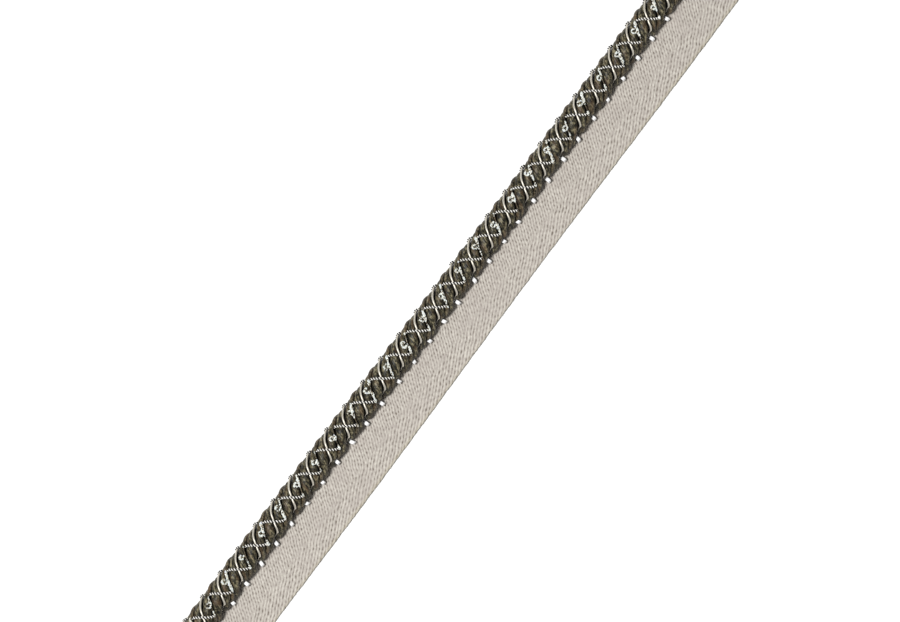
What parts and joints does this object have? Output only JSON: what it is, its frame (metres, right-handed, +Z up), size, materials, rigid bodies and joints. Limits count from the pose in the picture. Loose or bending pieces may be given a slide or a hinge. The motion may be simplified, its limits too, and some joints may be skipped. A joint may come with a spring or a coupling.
{
  "type": "flanged cord trim",
  "caption": "Straight length of flanged cord trim: a dark twisted cord wound with silver threads, sewn along one edge of a flat woven tape that is the sewing lip.",
  "frame": {"origin": "middle of the trim's footprint, on the surface that it lies on", "axes": "+X along the trim, +Y across it from the sewing lip to the cord, +Z up from the surface"},
  "size_m": [0.19, 0.016, 0.0065],
  "materials": {
    "viscose_strands": "lustrous dark olive bronze viscose yarn",
    "woven_tape": "matt greige herringbone weave",
    "silver_thread": "smooth satin silver thread",
    "glitter_thread": "sparkling metallised film thread",
    "binding_thread": "silver and black two-ply twist"
  },
  "bodies": {
    "root": {"cord": "viscose_strands", "tape": "woven_tape", "silver_thread_a": "silver_thread", "silver_thread_b": "silver_thread", "glitter_thread_a": "glitter_thread", "glitter_thread_b": "glitter_thread", "binding_thread_a": "binding_thread", "binding_thread_b": "binding_thread"}
  },
  "joints": []
}
